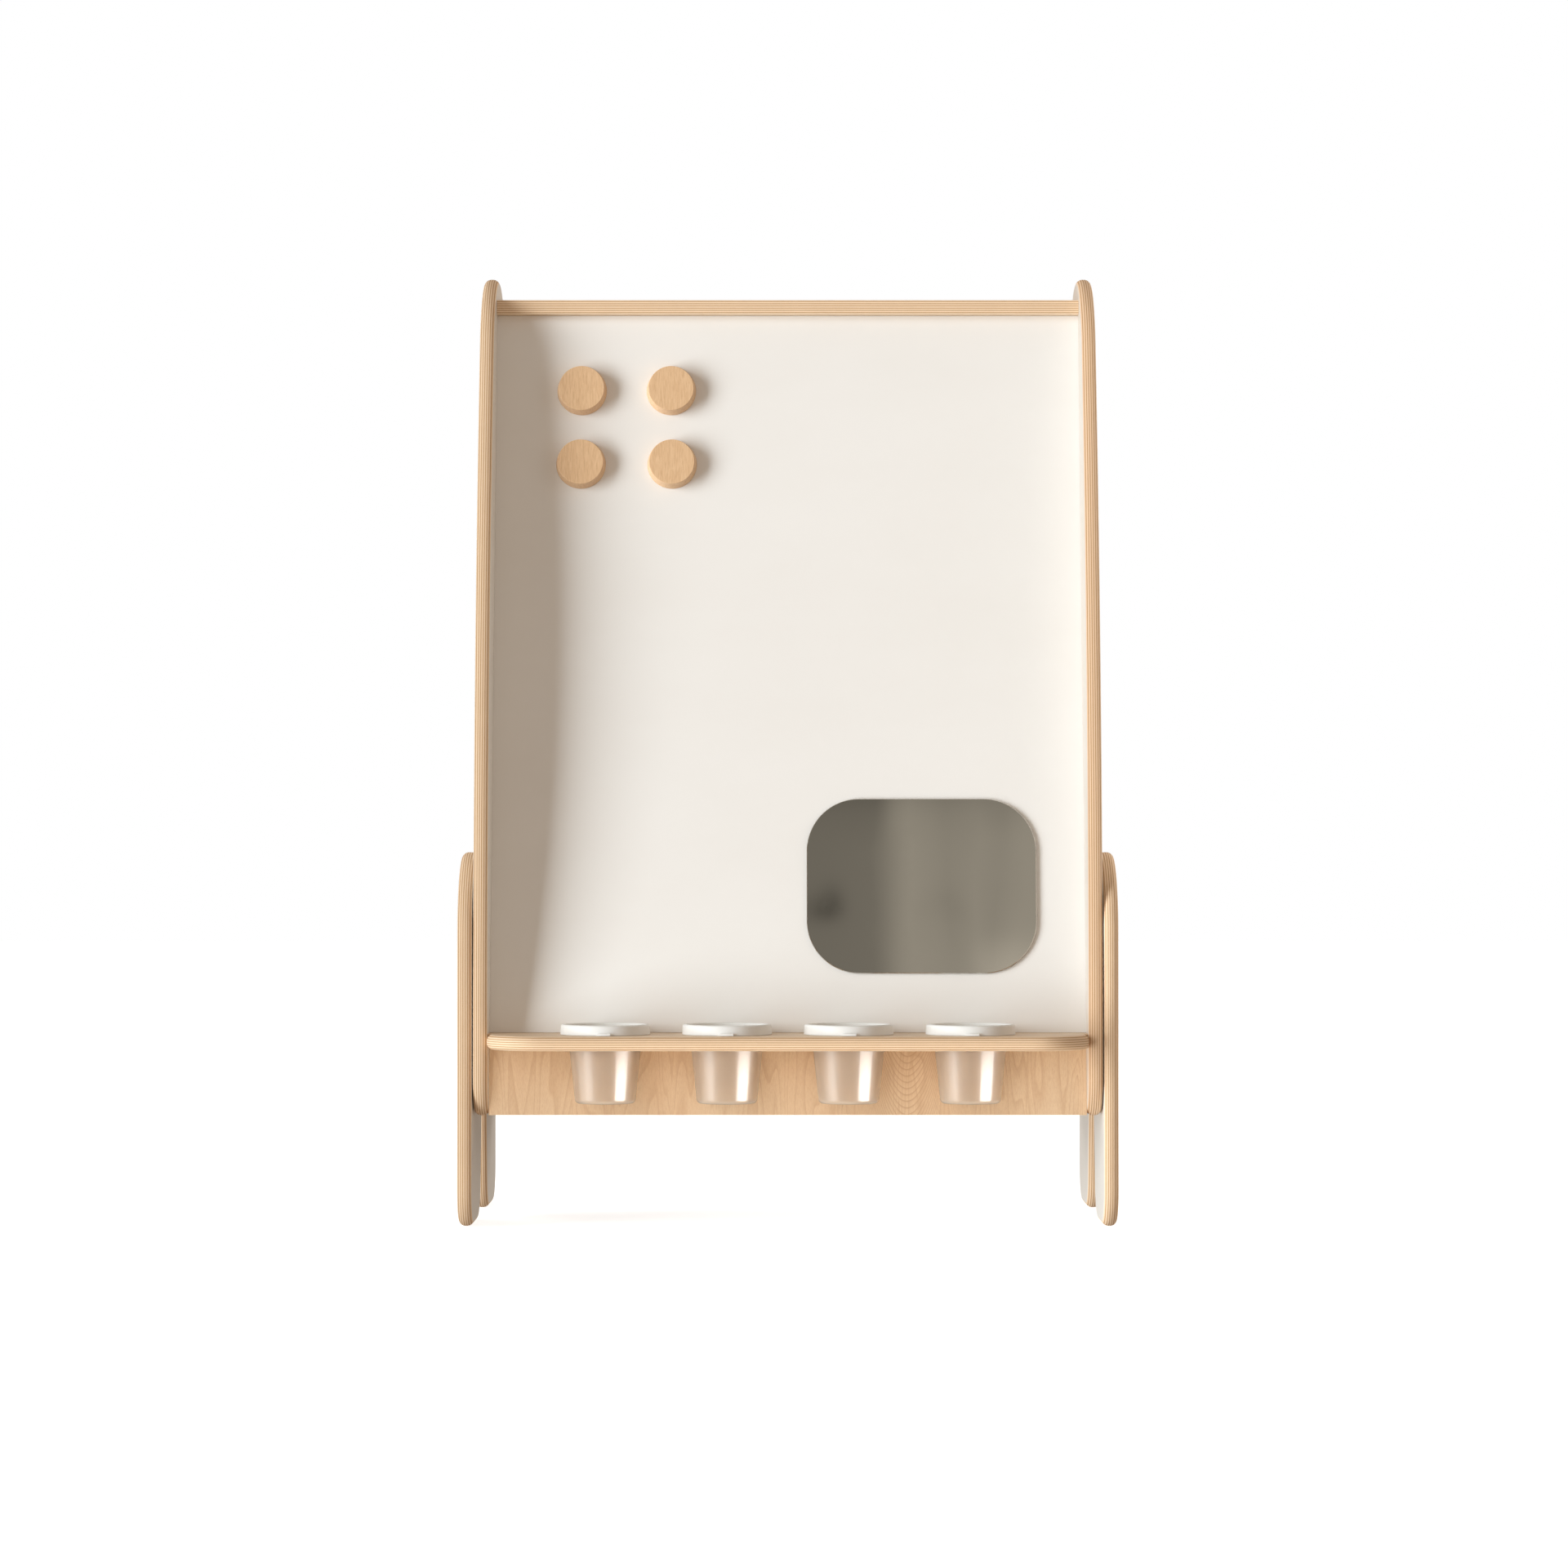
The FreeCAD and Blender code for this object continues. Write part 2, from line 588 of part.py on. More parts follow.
def lid(x):
    """A thick lid with a recessed top, a skirt round the cup's flange and a plug in its mouth."""
    plug_r = CUP_TOP_R - CUP_WALL - LID_PLUG_GAP
    plug_inner_r = plug_r - LID_PLUG_WALL
    plug_z = FLANGE_TOP_Z - LID_PLUG_H
    recess_z = LID_TOP_Z - LID_RECESS
    skirt_r = FLANGE_R + LID_FLANGE_GAP
    top_r = LID_R - LID_DRAFT
    solid = turned([
        (0, recess_z),
        (LID_RECESS_R, recess_z),
        (LID_RECESS_R, LID_TOP_Z),
        (top_r, LID_TOP_Z),
        (LID_R, LID_BOTTOM_Z),
        (skirt_r, LID_BOTTOM_Z),
        (skirt_r, FLANGE_TOP_Z),
        (plug_r, FLANGE_TOP_Z),
        (plug_r, plug_z),
        (plug_inner_r, plug_z),
        (plug_inner_r, recess_z - LID_PLATE_T),
        (0, recess_z - LID_PLATE_T),
    ], x)
    solid = solid.makeFillet(LID_EDGE_R, ring_edges(solid, top_r, LID_TOP_Z))
    solid = solid.makeFillet(LID_RIM_R, ring_edges(solid, LID_RECESS_R, LID_TOP_Z))
    return solid.fuse(lid_tab(x)).removeSplitter()


def lid_tab(x):
    """A small lip at the front of the skirt, to lift the lid by."""
    y_centre = depth_y(CUP_DEPTH)
    outer = Part.makeCylinder(LID_R + LID_TAB_REACH, LID_TAB_T, vec(x, y_centre, LID_BOTTOM_Z))
    inner = Part.makeCylinder(LID_R - LID_TAB_ROOT, LID_TAB_T, vec(x, y_centre, LID_BOTTOM_Z))
    window = box(x - LID_TAB_W / 2, x + LID_TAB_W / 2, y_centre - 2 * LID_R, y_centre,
                 LID_BOTTOM_Z, LID_BOTTOM_Z + LID_TAB_T)
    return outer.cut(inner).common(window)


# Pieces on the front board

def lay_on_board(shape, x, z):
    """Turn a piece made flat in XY, with +Z outwards, on to the front board's face."""
    turn = FreeCAD.Rotation(vec(1, 0, 0), 90 - math.degrees(LEAN))
    placed = shape.copy()
    placed.Placement = FreeCAD.Placement(vec(x, board_face_y(z), z), turn)
    return placed


def rounded_plate(width, height, radius, bottom, thickness):
    plate = Part.makeBox(width, height, thickness, vec(-width / 2, -height / 2, bottom))
    uprights = [edge for edge in plate.Edges if abs(edge.Length - thickness) < NEAR]
    return plate.makeFillet(radius, uprights)


def mirror_pad():
    width = MIRROR_W - 2 * PAD_INSET
    height = MIRROR_H - 2 * PAD_INSET
    pad = rounded_plate(width, height, MIRROR_R - PAD_INSET, 0, PAD_T)
    return lay_on_board(pad, MIRROR_X, MIRROR_Z)


def mirror_plate():
    plate = rounded_plate(MIRROR_W, MIRROR_H, MIRROR_R, PAD_T, MIRROR_T)
    plate = plate.makeChamfer(MIRROR_BEVEL, edges_in_plane(plate, "Z", PAD_T + MIRROR_T))
    return lay_on_board(plate, MIRROR_X, MIRROR_Z)


def disc():
    """A tapered wooden knob, with a pocket in its back for the magnet."""
    body = Part.makeCone(DISC_R, DISC_FACE_R, DISC_T, vec(0, 0, DISC_GAP))
    for z in (DISC_GAP, DISC_GAP + DISC_T):
        body = body.makeFillet(DISC_EDGE_R, edges_in_plane(body, "Z", z))
    return body.cut(Part.makeCylinder(MAGNET_R + FIT_GAP, MAGNET_T + FIT_GAP, vec(0, 0, DISC_GAP)))


def magnet():
    return Part.makeCylinder(MAGNET_R, MAGNET_T, vec(0, 0, DISC_GAP))


# Export

os.makedirs("parts", exist_ok=True)

SIDES = {"right": lambda solids: solids, "left": lambda solids: [mirror_x(s) for s in solids]}
SIDED_PIECES = {
    "base_panel": [base_panel()],
    "height_bolts": height_bolts(),
    "sleeve_nuts": sleeve_nuts(),
    "spacer_washers": spacer_washers(),
    "side_panel": [side_panel()],
}
for piece_name, piece_solids in SIDED_PIECES.items():
    for side_name, place in SIDES.items():
        export(f"{piece_name}_{side_name}", place(piece_solids))

STEEL_BACK = BOARD_STEEL_T
BACKER_BACK = BOARD_STEEL_T + BOARD_BACKER_T
export("board_front", [board_piece(STEEL_BACK, BACKER_BACK, TRAY_TOP_Z)])
export("board_rear", [mirror_y(board_piece(STEEL_BACK, BACKER_BACK, TRAY_Z))])
export("steel_sheet_front", [board_piece(0, STEEL_BACK, TRAY_TOP_Z)])
export("steel_sheet_rear", [mirror_y(board_piece(0, STEEL_BACK, TRAY_Z))])
export("rail_front", [rail()])
export("rail_rear", [mirror_y(rail())])
export("top_plank", [top_plank()])
export("tray", [tray()])
export("connector_bolts", connector_bolts())
export("barrel_nuts", barrel_nuts())
export("dowels", dowels())
export("mirror_pad", [mirror_pad()])
export("mirror", [mirror_plate()])

for number, cup_x in enumerate(cup_xs(), start=1):
    export(f"cup_{number}", [cup(cup_x)])
    export(f"lid_{number}", [lid(cup_x)])

for place_name, (disc_x, disc_z) in DISC_PLACES.items():
    export(f"disc_{place_name}", [lay_on_board(disc(), disc_x, disc_z)])
    export(f"magnet_{place_name}", [lay_on_board(magnet(), disc_x, disc_z)])
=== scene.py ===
import json
import math

import bpy
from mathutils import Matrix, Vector


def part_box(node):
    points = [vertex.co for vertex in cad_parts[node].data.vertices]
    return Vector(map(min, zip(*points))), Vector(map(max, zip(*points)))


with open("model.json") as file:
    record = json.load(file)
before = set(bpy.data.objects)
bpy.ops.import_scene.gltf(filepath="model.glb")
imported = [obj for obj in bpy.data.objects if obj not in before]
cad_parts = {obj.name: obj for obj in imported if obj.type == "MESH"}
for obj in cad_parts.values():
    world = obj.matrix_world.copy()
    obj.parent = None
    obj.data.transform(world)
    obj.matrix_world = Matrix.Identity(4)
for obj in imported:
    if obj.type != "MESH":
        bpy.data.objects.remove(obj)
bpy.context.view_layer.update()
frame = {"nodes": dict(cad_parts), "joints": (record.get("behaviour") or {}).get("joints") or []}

# ---------------------------------------------------------------- sizes read from the frame, metres

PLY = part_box("tray")[1].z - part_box("tray")[0].z
SIDE_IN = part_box("side_panel_right")[0].x
BASE_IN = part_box("base_panel_right")[0].x
TRAY_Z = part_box("tray")[0].z
PLANK_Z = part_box("top_plank")[0].z
RAIL_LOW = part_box("rail_front")[0]
MID_Y = (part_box("side_panel_right")[0].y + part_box("side_panel_right")[1].y) / 2
PULL = next(joint for joint in frame["joints"] if joint["child"] == "knob_upper_left")["axis"]
LEAN = math.atan2(PULL[2], -PULL[1])
TOUCHING = 0.0001               # a distance this small counts as none


# ---------------------------------------------------------------- node trees in short calls

def srgb(red, green, blue):
    """A colour given as it looks on a screen, 0 to 255, in the renderer's linear values."""
    def linear(value):
        value = value / 255
        return value / 12.92 if value <= 0.04045 else ((value + 0.055) / 1.055) ** 2.4
    return (linear(red), linear(green), linear(blue), 1.0)


def fill_ramp(ramp, stops):
    """Give a colour ramp these (position, colour) stops."""
    while len(ramp.elements) < len(stops):
        ramp.elements.new(0.5)
    for element, (position, colour) in zip(ramp.elements, stops):
        element.position = position
        element.color = colour


class Tree:
    """A material's node tree. A value passed to a call is a number, a tuple or another node's socket."""

    def __init__(self, name):
        self.material = bpy.data.materials.new(name)
        self.material.use_nodes = True
        self.nodes = self.material.node_tree.nodes
        self.links = self.material.node_tree.links
        self.shader = self.nodes["Principled BSDF"]
        coords = self.nodes.new("ShaderNodeTexCoord")
        self.place = coords.outputs["Object"]

    def feed(self, socket, value):
        """Link a node's socket to an input, or set the input to a plain value."""
        if isinstance(value, bpy.types.NodeSocket):
            self.links.new(value, socket)
        else:
            socket.default_value = value

    def set(self, **values):
        """Set the shader's inputs: base_color sets Base Color, and so on."""
        for name, value in values.items():
            label = name.replace("_", " ").title().replace("Ior", "IOR")
            self.feed(self.shader.inputs[label], value)

    def math(self, operation, first, second=0.0, clamp=False):
        node = self.nodes.new("ShaderNodeMath")
        node.operation = operation
        node.use_clamp = clamp
        self.feed(node.inputs[0], first)
        self.feed(node.inputs[1], second)
        return node.outputs[0]

    def axes(self, vector):
        """The x, y and z of a vector."""
        node = self.nodes.new("ShaderNodeSeparateXYZ")
        self.feed(node.inputs[0], vector)
        return node.outputs[0], node.outputs[1], node.outputs[2]

    def scaled(self, scale):
        """The place on the object, scaled along X, Y and Z."""
        node = self.nodes.new("ShaderNodeMapping")
        self.feed(node.inputs["Vector"], self.place)
        node.inputs["Scale"].default_value = scale
        return node.outputs[0]

    def noise(self, vector, scale=1.0, detail=2.0, roughness=0.5, distortion=0.0):
        node = self.nodes.new("ShaderNodeTexNoise")
        self.feed(node.inputs["Vector"], vector)
        node.inputs["Scale"].default_value = scale
        node.inputs["Detail"].default_value = detail
        node.inputs["Roughness"].default_value = roughness
        node.inputs["Distortion"].default_value = distortion
        return node.outputs[0]

    def steps(self, value, *stops):
        """A ramp from (position, grey) stops."""
        node = self.nodes.new("ShaderNodeValToRGB")
        self.feed(node.inputs[0], value)
        greys = [(position, (level, level, level, 1)) for position, level in stops]
        fill_ramp(node.color_ramp, greys)
        return node.outputs[0]

    def mix(self, factor, first, second, blend="MIX"):
        node = self.nodes.new("ShaderNodeMix")
        node.data_type = "RGBA"
        node.blend_type = blend
        self.feed(node.inputs[0], factor)
        self.feed(node.inputs[6], first)
        self.feed(node.inputs[7], second)
        return node.outputs[2]

    def shaded(self, colour, shade):
        """A colour made darker (below 1) or lighter (above 1)."""
        return self.mix(1.0, colour, (shade, shade, shade, 1), "MULTIPLY")

    def blend_number(self, factor, first, second):
        node = self.nodes.new("ShaderNodeMix")
        self.feed(node.inputs[0], factor)
        self.feed(node.inputs[2], first)
        self.feed(node.inputs[3], second)
        return node.outputs[0]

    def bump(self, height, depth):
        """Surface relief of a depth in metres."""
        node = self.nodes.new("ShaderNodeBump")
        node.inputs["Strength"].default_value = 1.0
        node.inputs["Distance"].default_value = depth
        self.feed(node.inputs["Height"], height)
        self.feed(self.shader.inputs["Normal"], node.outputs[0])

    def absorb(self, colour, density):
        """Tint what passes through, more where the plastic is thicker."""
        node = self.nodes.new("ShaderNodeVolumeAbsorption")
        node.inputs["Color"].default_value = colour
        node.inputs["Density"].default_value = density
        self.links.new(node.outputs[0], self.nodes["Material Output"].inputs["Volume"])


# ---------------------------------------------------------------- wood

PLIES = 13
BIRCH_SKIN = 0.03               # share of a sheet's thickness that each birch face takes at the edge
LAMINATE_SKIN = 0.022           # the same for the white faces
WOOD_RELIEF = 0.00012           # depth of the ply lines and pores
ARCH_X = 0.125                  # where along a rail its nested arches stand
PLY_LIGHT = srgb(249, 222, 190)
PLY_CROSS = srgb(205, 164, 121)
PLY_GLUE = srgb(172, 128, 88)
VENEER_LIGHT = srgb(247, 224, 194)
VENEER_MID = srgb(242, 215, 183)
VENEER_DARK = srgb(212, 175, 137)
LAMINATE = srgb(242, 237, 229)


def ply_edge(tree, across):
    """(colour, height) of a lacquered ply edge. across goes from 0 to 1 through the sheet."""
    drift = tree.noise(tree.place, 7.0, 2.0, 0.5)
    wander = tree.math("MULTIPLY", tree.math("SUBTRACT", drift, 0.5), 0.35)
    layer = tree.math("ADD", tree.math("MULTIPLY", across, PLIES), wander)
    in_pair = tree.math("FRACT", tree.math("MULTIPLY", layer, 0.5))
    in_layer = tree.math("FRACT", layer)
    cross = tree.steps(in_pair, (0.55, 0.0), (0.6, 1.0), (0.93, 1.0), (0.98, 0.0))
    glue = tree.steps(in_layer, (0.0, 1.0), (0.08, 0.0), (0.92, 0.0), (1.0, 1.0))
    streak = tree.noise(tree.place, 45.0, 3.0, 0.6)
    pores = tree.noise(tree.place, 1500.0, 2.0, 0.6)
    light = tree.mix(tree.steps(streak, (0.35, 0.0), (0.7, 0.6)), PLY_LIGHT, VENEER_MID)
    dark = tree.mix(tree.steps(pores, (0.45, 0.0), (0.75, 0.5)), PLY_CROSS, PLY_GLUE)
    colour = tree.mix(cross, light, dark)
    colour = tree.mix(tree.math("MULTIPLY", glue, 0.5), colour, PLY_GLUE)
    height = tree.math("ADD", tree.math("MULTIPLY", cross, -0.35), tree.math("MULTIPLY", glue, -0.4))
    height = tree.math("ADD", height, tree.math("MULTIPLY", pores, 0.25))
    return colour, height


def veneer(tree, grain):
    """(colour, height) of a birch face. grain gives the scale along X, Y and Z: small along the grain."""
    figure = tree.noise(tree.scaled(grain), 1.0, 1.5, 0.45, 0.6)
    contour = tree.math("FRACT", tree.math("MULTIPLY", figure, 11.0))
    rings = tree.steps(contour, (0.0, 0.0), (0.62, 0.28), (0.93, 1.0), (1.0, 0.0))
    fine = tuple(7.0 * scale for scale in grain)
    fibre = tree.noise(tree.scaled(fine), 6.0, 4.0, 0.6)
    cloud = tree.noise(tree.scaled(grain), 0.55, 2.0, 0.5)
    flecks = tree.noise(tree.scaled(fine), 16.0, 2.0, 0.7)
    colour = tree.mix(tree.steps(cloud, (0.36, 0.0), (0.66, 1.0)), VENEER_LIGHT, VENEER_MID)
    colour = tree.mix(tree.math("MULTIPLY", rings, 0.42), colour, VENEER_DARK)
    colour = tree.mix(tree.steps(fibre, (0.42, 0.0), (0.75, 0.45)), colour, VENEER_DARK)
    colour = tree.mix(tree.steps(flecks, (0.66, 0.0), (0.78, 0.35)), colour, PLY_GLUE)
    height = tree.math("ADD", tree.math("MULTIPLY", fibre, 0.6), tree.math("MULTIPLY", rings, -0.2))
    return colour, height


def rail_veneer(tree, grain):
    """(colour, height) of the rail: upright fibres, and one set of nested arches between two cups."""
    colour, height = veneer(tree, grain)
    x, _, z = tree.axes(tree.place)
    sway = tree.noise(tree.scaled((22, 22, 9)), 1.0, 2.0, 0.5)
    off_centre = tree.math("ADD", tree.math("SUBTRACT", x, ARCH_X), tree.math("MULTIPLY", sway, 0.006))
    arch = tree.math("SUBTRACT", z, tree.math("MULTIPLY", tree.math("POWER", off_centre, 2.0), 62.0))
    count = tree.math("ADD", tree.math("MULTIPLY", arch, 155.0), tree.math("MULTIPLY", sway, 2.2))
    contour = tree.math("FRACT", count)
    lines = tree.steps(contour, (0.0, 0.0), (0.6, 0.1), (0.9, 1.0), (1.0, 0.0))
    aside = tree.math("MULTIPLY", tree.math("ABSOLUTE", off_centre), 20.0)
    near = tree.steps(aside, (0.6, 1.0), (0.85, 0.0))
    colour = tree.mix(tree.math("MULTIPLY", tree.math("MULTIPLY", lines, near), 0.75), colour, VENEER_DARK)
    return colour, height


def sheet_position(tree, value, start):
    """How far through a sheet a point is, from 0 on its first face to 1 on the other."""
    return tree.math("DIVIDE", tree.math("SUBTRACT", value, start), PLY)


def on_face(tree, across, skin):
    """1 on both faces of a sheet, and 0 on its edge. skin is how far round the edge a face reaches."""
    middle = tree.math("ABSOLUTE", tree.math("SUBTRACT", across, 0.5))
    return tree.math("GREATER_THAN", middle, 0.5 - skin)


def laminated_ply(name, inner_x):
    """White faces over ply, on an upright panel whose inner face is this far from the middle."""
    tree = Tree(name)
    x = tree.axes(tree.place)[0]
    across = sheet_position(tree, tree.math("ABSOLUTE", x), inner_x)
    face = on_face(tree, across, LAMINATE_SKIN)
    edge_colour, edge_height = ply_edge(tree, across)
    mottle = tree.noise(tree.place, 14.0, 3.0, 0.6)
    grit = tree.noise(tree.place, 900.0, 2.0, 0.5)
    white = tree.mix(tree.steps(mottle, (0.35, 0.0), (0.7, 0.5)), LAMINATE, srgb(237, 231, 221))
    tree.set(base_color=tree.mix(face, edge_colour, white))
    edge_rough = tree.steps(edge_height, (0.0, 0.62), (1.0, 0.42))
    face_rough = tree.steps(grit, (0.3, 0.30), (0.7, 0.40))
    tree.set(roughness=tree.mix(face, edge_rough, face_rough))
    tree.bump(tree.blend_number(face, edge_height, tree.math("MULTIPLY", grit, 0.15)), WOOD_RELIEF)
    return tree.material


def flat_ply(name, low_z, grain, shade):
    """Natural birch faces over ply, on a level board whose underside is at this height."""
    tree = Tree(name)
    z = tree.axes(tree.place)[2]
    across = sheet_position(tree, z, low_z)
    face = on_face(tree, across, BIRCH_SKIN)
    edge_colour, edge_height = ply_edge(tree, across)
    face_colour, face_height = veneer(tree, grain)
    colour = tree.shaded(tree.mix(face, edge_colour, face_colour), shade)
    tree.set(base_color=colour, roughness=0.46)
    tree.bump(tree.blend_number(face, edge_height, face_height), WOOD_RELIEF)
    return tree.material


def leaning_ply(name, front, grain):
    """Birch faces with arches over ply, on a leaning rail. front is 1, or -1 for its mirror image."""
    tree = Tree(name)
    _, y, z = tree.axes(tree.place)
    if front > 0:
        inward = tree.math("SUBTRACT", y, RAIL_LOW.y)
    else:
        inward = tree.math("SUBTRACT", 2 * MID_Y - RAIL_LOW.y, y)
    rise = tree.math("SUBTRACT", z, RAIL_LOW.z)
    through = tree.math("SUBTRACT", tree.math("MULTIPLY", inward, math.cos(LEAN)),
                        tree.math("MULTIPLY", rise, math.sin(LEAN)))
    across = tree.math("DIVIDE", through, PLY)
    face = on_face(tree, across, BIRCH_SKIN)
    edge_colour, edge_height = ply_edge(tree, across)
    face_colour, face_height = rail_veneer(tree, grain)
    tree.set(base_color=tree.mix(face, edge_colour, face_colour), roughness=0.48)
    tree.bump(tree.blend_number(face, edge_height, face_height), WOOD_RELIEF)
    return tree.material


def plain_birch(name, grain, shade):
    """Birch face figure on every side."""
    tree = Tree(name)
    colour, height = veneer(tree, grain)
    tree.set(base_color=tree.shaded(colour, shade), roughness=0.5)
    tree.bump(height, 0.0001)
    return tree.material


def knob_wood():
    """Straight-grained beech, sanded and waxed."""
    tree = Tree("knob_wood")
    fibre = tree.noise(tree.scaled((900, 500, 60)), 1.0, 4.0, 0.6)
    growth = tree.noise(tree.scaled((130, 60, 14)), 1.0, 2.0, 0.5, 0.4)
    year = tree.math("FRACT", tree.math("MULTIPLY", growth, 6.0))
    bands = tree.steps(year, (0.0, 0.0), (0.8, 0.7), (1.0, 0.0))
    colour = tree.mix(tree.math("MULTIPLY", bands, 0.5), srgb(236, 198, 156), srgb(214, 170, 124))
    colour = tree.mix(tree.steps(fibre, (0.45, 0.0), (0.8, 0.5)), colour, srgb(188, 142, 98))
    tree.set(base_color=colour, roughness=0.44)
    tree.bump(fibre, 0.00008)
    return tree.material


# ---------------------------------------------------------------- boards, plastic, mirror and metal

def whiteboard():
    """Off-white baked enamel with a faint orange-peel surface and dry-wiped haze."""
    tree = Tree("whiteboard")
    peel = tree.noise(tree.place, 420.0, 2.0, 0.5)
    haze = tree.noise(tree.scaled((5, 5, 9)), 1.0, 4.0, 0.6)
    tone = tree.mix(tree.steps(haze, (0.35, 0.0), (0.7, 0.5)), srgb(248, 245, 240), srgb(244, 240, 234))
    tree.set(base_color=tone, roughness=tree.steps(haze, (0.3, 0.30), (0.7, 0.40)))
    tree.set(coat_weight=0.15, coat_roughness=0.25)
    tree.bump(peel, 0.00003)
    return tree.material


CUP_CLEAR = 0.84                # share of the light that goes into the plastic
CUP_TINT = (0.70, 0.50, 0.30, 1)
CUP_TINT_DENSITY = 52.0
GLOSS_DROP = 0.03               # how far under the tray the cups reach their full gloss


def cup_plastic():
    """Frosted translucent polypropylene, glossy outside, that takes some colour from its thickness."""
    tree = Tree("cup_plastic")
    flow = tree.noise(tree.scaled((40, 40, 9)), 1.0, 3.0, 0.5)
    frost = tree.noise(tree.place, 1500.0, 2.0, 0.6)
    tone = tree.mix(tree.steps(flow, (0.35, 0.0), (0.7, 0.6)), srgb(251, 238, 220), srgb(247, 231, 211))
    tree.set(base_color=tone, roughness=tree.steps(frost, (0.3, 0.34), (0.7, 0.44)))
    # Painted shade: the coat's gloss is weak at the tray and full GLOSS_DROP below it, standing in for the
    # tray's shade on the cups' highlight.
    below_tray = tree.math("SUBTRACT", TRAY_Z, tree.axes(tree.place)[2])
    gloss_under_painted_tray_shade = tree.steps(tree.math("DIVIDE", below_tray, GLOSS_DROP, clamp=True), (0.0, 0.12), (1.0, 0.8))
    # The flange lies face to face on the tray, so light that went into it would not come out again.
    below_flange = tree.math("GREATER_THAN", below_tray, TOUCHING - PLY)
    clear = tree.math("MULTIPLY", below_flange, CUP_CLEAR)
    tree.set(transmission_weight=clear, ior=1.45, coat_weight=gloss_under_painted_tray_shade, coat_roughness=0.16)
    tree.bump(frost, 0.00002)
    tree.absorb(CUP_TINT, CUP_TINT_DENSITY)
    return tree.material


def lid_plastic():
    """Satin white plastic that lets a little light through."""
    tree = Tree("lid_plastic")
    grit = tree.noise(tree.place, 1300.0, 2.0, 0.5)
    cloud = tree.noise(tree.place, 30.0, 2.0, 0.5)
    tone = tree.mix(tree.steps(cloud, (0.35, 0.0), (0.7, 0.4)), srgb(241, 240, 236), srgb(234, 232, 227))
    tree.set(base_color=tone, roughness=tree.steps(grit, (0.3, 0.30), (0.7, 0.40)))
    tree.set(subsurface_weight=0.04, subsurface_radius=(0.004, 0.0035, 0.003))
    tree.bump(grit, 0.00002)
    return tree.material


def acrylic_mirror():
    """Silvered acrylic: a clear reflection with the faint waviness of a thin sheet."""
    tree = Tree("acrylic_mirror")
    wave = tree.noise(tree.scaled((9, 9, 7)), 1.0, 1.0, 0.4)
    smudge = tree.noise(tree.scaled((22, 22, 22)), 1.0, 4.0, 0.7)
    tree.set(base_color=srgb(205, 200, 192), metallic=1.0)
    tree.set(roughness=tree.steps(smudge, (0.35, 0.015), (0.75, 0.045)))
    tree.bump(wave, 0.0003)
    return tree.material


def fastener_steel():
    """Zinc-plated steel, brushed along the bolts."""
    tree = Tree("fastener_steel")
    brush = tree.noise(tree.scaled((300, 1800, 1800)), 1.0, 3.0, 0.6)
    tone = tree.mix(tree.steps(brush, (0.3, 0.0), (0.7, 1.0)), srgb(178, 178, 176), srgb(208, 207, 203))
    tree.set(base_color=tone, metallic=1.0, roughness=tree.steps(brush, (0.3, 0.26), (0.7, 0.42)))
    tree.bump(brush, 0.00002)
    return tree.material


def speckled(name, first, second, roughness, scale, metallic=0.0):
    """A plain moulded or pressed material with fine variation in colour and gloss."""
    tree = Tree(name)
    grit = tree.noise(tree.place, scale, 3.0, 0.6)
    tree.set(base_color=tree.mix(tree.steps(grit, (0.3, 0.0), (0.7, 1.0)), first, second))
    rough = tree.steps(grit, (0.3, roughness - 0.06), (0.7, roughness + 0.06))
    tree.set(roughness=rough, metallic=metallic)
    tree.bump(grit, 0.00004)
    return tree.material


def paint(material, *prefixes):
    """Give a material to every CAD node whose name starts with one of these."""
    for name, node in frame["nodes"].items():
        if name.startswith(prefixes):
            for place in node.material_slots:
                place.material = material


# A later call wins where two fit a node, so mirror_pad comes after mirror.
paint(laminated_ply("side_panel_ply", SIDE_IN), "side_panel")
paint(laminated_ply("base_panel_ply", BASE_IN), "base_panel")
# The tray's birch is darkened (0.93), painted shade for the extra light it gets, and the plank's is
# lightened (1.05), painted light for the light it lacks.
paint(flat_ply("tray_ply", TRAY_Z, (5.5, 38.0, 38.0), 0.93), "tray")
paint(flat_ply("plank_ply", PLANK_Z, (4.5, 40.0, 40.0), 1.05), "top_plank")
paint(leaning_ply("rail_front_ply", 1, (34.0, 6.0, 5.0)), "rail_front")
paint(leaning_ply("rail_rear_ply", -1, (34.0, 6.0, 5.0)), "rail_rear")
paint(plain_birch("board_back_birch", (4.0, 30.0, 30.0), 0.95), "board_")
paint(whiteboard(), "steel_sheet")
paint(cup_plastic(), "cup_")
paint(lid_plastic(), "lid_")
paint(knob_wood(), "disc_")
paint(acrylic_mirror(), "mirror")
paint(speckled("foam_pad", srgb(232, 230, 224), srgb(220, 217, 210), 0.8, 700.0), "mirror_pad")
paint(fastener_steel(), "connector_bolts", "height_bolts", "sleeve_nuts", "barrel_nuts")
paint(speckled("nylon", srgb(46, 44, 42), srgb(58, 56, 53), 0.5, 900.0), "spacer_washers")
paint(speckled("ferrite", srgb(52, 51, 50), srgb(70, 69, 68), 0.6, 1100.0, 0.4), "magnet_")
paint(plain_birch("dowel_beech", (6.0, 60.0, 60.0), 0.92), "dowels")


# ---------------------------------------------------------------- floor, light and camera

def seen_by(piece, camera, glossy):
    """Which rays meet a stage piece. It neither lights the object nor casts a shadow."""
    piece.visible_camera = camera
    piece.visible_glossy = glossy
    piece.visible_transmission = True
    piece.visible_diffuse = False
    piece.visible_shadow = False


def plane(name, size, location, direction, material):
    """A rectangle of (width, height) that faces a direction."""
    bpy.ops.mesh.primitive_plane_add(size=1.0, location=location)
    piece = bpy.context.object
    piece.name = name
    piece.scale = (size[0], size[1], 1.0)
    piece.rotation_euler = Vector(direction).to_track_quat("Z", "Y").to_euler()
    piece.data.materials.append(material)
    return piece


